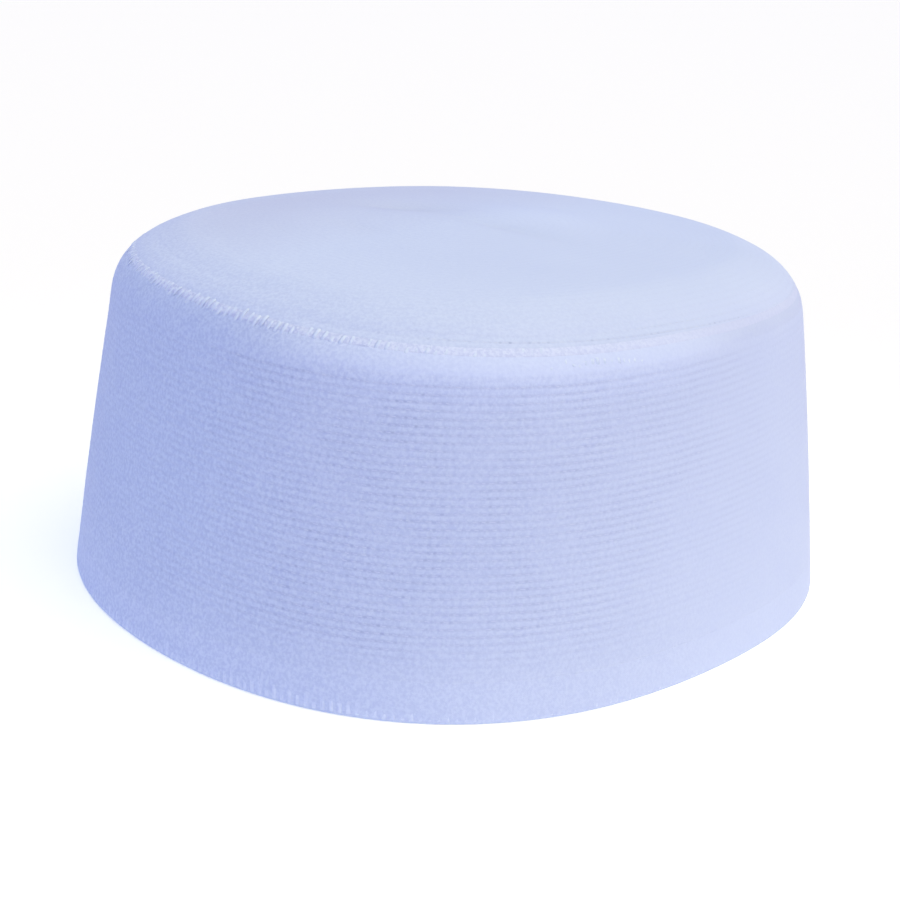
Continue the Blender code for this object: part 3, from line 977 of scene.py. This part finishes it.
def cloth_material(name, light, dark, shade_tint, row_shade, hole_shade, pebble_depth, speck_size, hole_width):
    """Matt cloth: a light and a dark tone mixed by drift and specks, darker rows, pebbles in the bump."""
    material, tree, shader, where = new_material(name)
    stitch_map = add_node(tree, "UVMap", uv_map="stitch")["UV"]
    cloth_map = add_node(tree, "UVMap", uv_map="cloth")["UV"]
    drift = add_node(tree, "Group", {"Vector": where}, node_tree=drift_group)
    rows = add_node(tree, "Group", {"Vector": stitch_map, "Hole Width": hole_width}, node_tree=stitch_group)
    weave = add_node(tree, "Group", {"Vector": cloth_map, "Place": where}, node_tree=weave_group)
    rows_shown, holes_shown, specks_shown, lighter, painted_shade = [
        add_node(tree, "Attribute", attribute_name=effect)["Fac"]
        for effect in ("rows_shown", "holes_shown", "specks_shown", "lighter", "painted_shade")]

    speck = maths(tree, "SUBTRACT", ramp(tree, weave["Pebble"], 0.34, 0.66), 0.5)
    speck = scaled(tree, speck, times(tree, specks_shown, speck_size), TONE_MIDDLE)
    slow = times(tree, ramp(tree, drift["Slow"], 0.3, 0.7), SLOW_DRIFT)
    base = mix_colour(tree, maths(tree, "ADD", slow, speck), dark, light)

    # painted shade in the grooves of the rows and in the needle holes, where shade falls
    patch = scaled(tree, ramp(tree, drift["Patch"], 0.3, 0.65), 0.6, 0.4)
    row = times(tree, rows["Row"], row_shade)
    hole = times(tree, times(tree, rows["Hole"], hole_shade), holes_shown)
    shade = times(tree, maths(tree, "ADD", row, hole), times(tree, patch, rows_shown))
    deep = tuple(channel * factor for channel, factor in zip(dark, DEEP_SHADE))
    colour = mix_colour(tree, shade, base, deep)

    # painted shade: a cooler, darker tint where the painted_shade attribute says; then painted light or
    # painted shade by the lighter attribute
    tint = mix_colour(tree, painted_shade, (1.0, 1.0, 1.0), shade_tint)
    colour = add_node(tree, "VectorMath", {0: colour, 1: tint}, operation="MULTIPLY")["Vector"]
    brighter = {"Vector": colour, "Scale": maths(tree, "ADD", lighter, 1.0)}
    pebbles = times(tree, weave["Pebble"], scaled(tree, specks_shown, 0.8, 0.2))
    height = scaled(tree, weave["Weave"], WEAVE_HEIGHT, pebbles)
    fill(tree, shader, {
        "Base Color": add_node(tree, "VectorMath", brighter, operation="SCALE")["Vector"],
        "Roughness": scaled(tree, drift["Fine"], 0.15, 0.78),
        "Specular IOR Level": 0.25,
        "Sheen Weight": 0.12,
        "Sheen Roughness": 0.5,
        "Normal": bump(tree, height, 1.0, pebble_depth),
    })
    return material


def thread_material(name, light, dark):
    """Cotton thread: two tones mixed by the fine drift, with a fibre bump."""
    material, tree, shader, where = new_material(name)
    fine = add_node(tree, "Group", {"Vector": where}, node_tree=drift_group)["Fine"]
    fill(tree, shader, {
        "Base Color": mix_colour(tree, ramp(tree, fine, 0.3, 0.7), light, dark),
        "Roughness": scaled(tree, fine, 0.2, 0.6),
        "Sheen Weight": 0.15,
        "Normal": bump(tree, noise(tree, where, 5200.0), 0.5, 0.00004),
    })
    return material


CLOTH_TONES = ((0.655, 0.74, 0.92), (0.518, 0.60, 0.82))   # light, dark
SEAM_TONES = ((0.69, 0.76, 0.94), (0.55, 0.62, 0.84))
# tints of painted shade: for the band's left side, away from the lamp, and for the top's back left
SIDE_SHADE_TINT = (0.925, 0.952, 0.988)
TOP_SHADE_TINT = (1.0, 0.960, 0.980)

# after the colours: shade of rows and of holes, depth of pebbles, size of specks, width of holes
band_finish = cloth_material("band_cloth_finish", *CLOTH_TONES, SIDE_SHADE_TINT, 0.23, 0.22, 0.00022, 0.80, 0.26)
top_finish = cloth_material("top_cloth_finish", *CLOTH_TONES, TOP_SHADE_TINT, 0.10, 0.35, 0.00012, 0.60, 0.26)
hem_finish = cloth_material("hem_cloth_finish", *CLOTH_TONES, SIDE_SHADE_TINT, 0.0, 0.0, 0.00022, 0.80, 0.26)
seam_finish = cloth_material("seam_ridge_finish", *SEAM_TONES, SIDE_SHADE_TINT, 0.05, 0.35, 0.00025, 1.20, 0.30)
row_thread_finish = thread_material("row_thread_finish", (0.62, 0.69, 0.88), (0.56, 0.63, 0.84))
seam_thread_finish = thread_material("seam_thread_finish", (0.715, 0.81, 0.97), (0.62, 0.72, 0.91))
binding_finish = thread_material("binding_thread_finish", (0.70, 0.785, 0.96), (0.62, 0.705, 0.91))

# %% [markdown]
# ## Put the pieces on the cap
# Each piece rides on the cap's one body, stands in for the solid that it names, and takes its finish.

# %% Ride, replace and give the finishes
PIECES = (
    (side_band, ("side_band",), "band_cloth", band_finish),
    (band_thread, (), "seam_thread", row_thread_finish),
    (top_panel, ("top_panel",), "top_cloth", top_finish),
    (top_thread, (), "seam_thread", row_thread_finish),
    (seam_ridge, ("top_seam",), "seam_thread", seam_finish),
    (seam_whip, (), "seam_thread", seam_thread_finish),
    (seam_upright, (), "seam_thread", seam_thread_finish),
    (rim_hem, ("rim_hem",), "hem_cloth", hem_finish),
    (edge_thread, (), "seam_thread", binding_finish),
)
for piece, solids, slot_name, finish in PIECES:
    piece.data.materials.append(finish)
    if solids:
        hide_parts(*solids)
    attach(piece, "root")
print("pieces:", len(PIECES))

# %% [markdown]
# ## Floor, light and camera
# A plain pale floor, a cool soft light from all round, and one large warm lamp high on the right. That is
# what gives white cloth its blue shade side. The floor glows a little round the cap: painted light, which
# washes out the cap's shadow on the floor and lights the foot of the wall. The camera stands where the
# photograph was taken from.

# %% Floor
FLOOR_HALF = 9.0
FLOOR_COLOUR = (0.95, 0.95, 0.95)
# painted light: the floor's glow, strongest round the cap over GLOW_RADIUS, faint far out
GLOW_RADIUS = 0.15
GLOW_COLOUR = (0.385, 0.400, 0.335)
FAR_COLOUR = (0.055, 0.055, 0.045)

floor_points = np.array([[-1, -1, 0], [1, -1, 0], [1, 1, 0], [-1, 1, 0]]) * FLOOR_HALF
floor = build_mesh("floor", floor_points, np.array([[0, 1, 2, 3]]), np.zeros((0, 3), int), {})
floor_finish, floor_tree, floor_shader, on_floor = new_material("floor_finish")
from_cap = add_node(floor_tree, "VectorMath", {0: on_floor}, operation="LENGTH")["Value"]
spread = maths(floor_tree, "DIVIDE", from_cap, GLOW_RADIUS)
fall = times(floor_tree, times(floor_tree, spread, spread), -1.0)
glow = mix_colour(floor_tree, maths(floor_tree, "EXPONENT", fall), FAR_COLOUR, GLOW_COLOUR)
fill(floor_tree, floor_shader, {
    "Base Color": FLOOR_COLOUR, "Roughness": 0.9, "Emission Color": glow, "Emission Strength": 1.0})
floor.data.materials.append(floor_finish)

# %% Light
BACKDROP_COLOUR = (0.982, 0.982, 0.987)   # what the camera sees in place of the light
HORIZON_COLOUR = (0.000, 0.030, 0.740)
ZENITH_COLOUR = (1.110, 1.220, 0.950)
KEY_COLOUR = (1.0, 0.823, 0.352)
KEY_STRENGTH = 1.745
KEY_SPREAD = math.radians(80)
KEY_AZIMUTH = math.radians(-21)
KEY_ELEVATION = math.radians(55)

world = bpy.data.worlds.new("soft_room")
bpy.context.scene.world = world
world.use_nodes = True
world_tree = world.node_tree
direction = add_node(world_tree, "TexCoord")["Generated"]
height = add_node(world_tree, "SeparateXYZ", {0: direction})[2]
upward = maths(world_tree, "POWER", maths(world_tree, "ABSOLUTE", height), 2.0)
sky = world_tree.nodes["Background"]
fill(world_tree, sky, {"Color": mix_colour(world_tree, upward, HORIZON_COLOUR, ZENITH_COLOUR)})
backdrop = add_node(world_tree, "Background", {"Color": BACKDROP_COLOUR})[0]
camera_ray = add_node(world_tree, "LightPath")["Is Camera Ray"]
seen = add_node(world_tree, "MixShader", {0: camera_ray, 1: sky.outputs[0], 2: backdrop})[0]
fill(world_tree, world_tree.nodes["World Output"], {"Surface": seen})

lamp = bpy.data.lights.new("key_lamp", "SUN")
lamp.energy = KEY_STRENGTH
lamp.color = KEY_COLOUR
lamp.angle = KEY_SPREAD
key = bpy.data.objects.new("key_lamp", lamp)
key_flat, key_up = math.cos(KEY_ELEVATION), math.sin(KEY_ELEVATION)
key_direction = Vector((math.cos(KEY_AZIMUTH) * key_flat, math.sin(KEY_AZIMUTH) * key_flat, key_up))
key.location = key_direction
key.rotation_euler = (-key_direction).to_track_quat("-Z", "Y").to_euler()
bpy.context.scene.collection.objects.link(key)
bpy.context.scene.view_settings.view_transform = "Standard"

# %% Camera
CAMERA_PLACE = (-0.000362, -0.425345, 0.172659)
CAMERA_RIGHT = (0.998660, 0.017116, 0.048847)
CAMERA_UP = (-0.051755, 0.318081, 0.946650)
CAMERA_FORWARD = (-0.000666, 0.947909, -0.318541)
CAMERA_LENS = 70.38

camera_data = bpy.data.cameras.new("camera")
camera_data.lens = CAMERA_LENS
camera_data.sensor_width = 36.0
camera_data.clip_start = 0.01
camera = bpy.data.objects.new("camera", camera_data)
bpy.context.scene.collection.objects.link(camera)
camera_turn = Matrix((CAMERA_RIGHT, CAMERA_UP, -Vector(CAMERA_FORWARD))).transposed()
camera.matrix_world = Matrix.Translation(CAMERA_PLACE) @ camera_turn.to_4x4()
bpy.context.scene.camera = camera
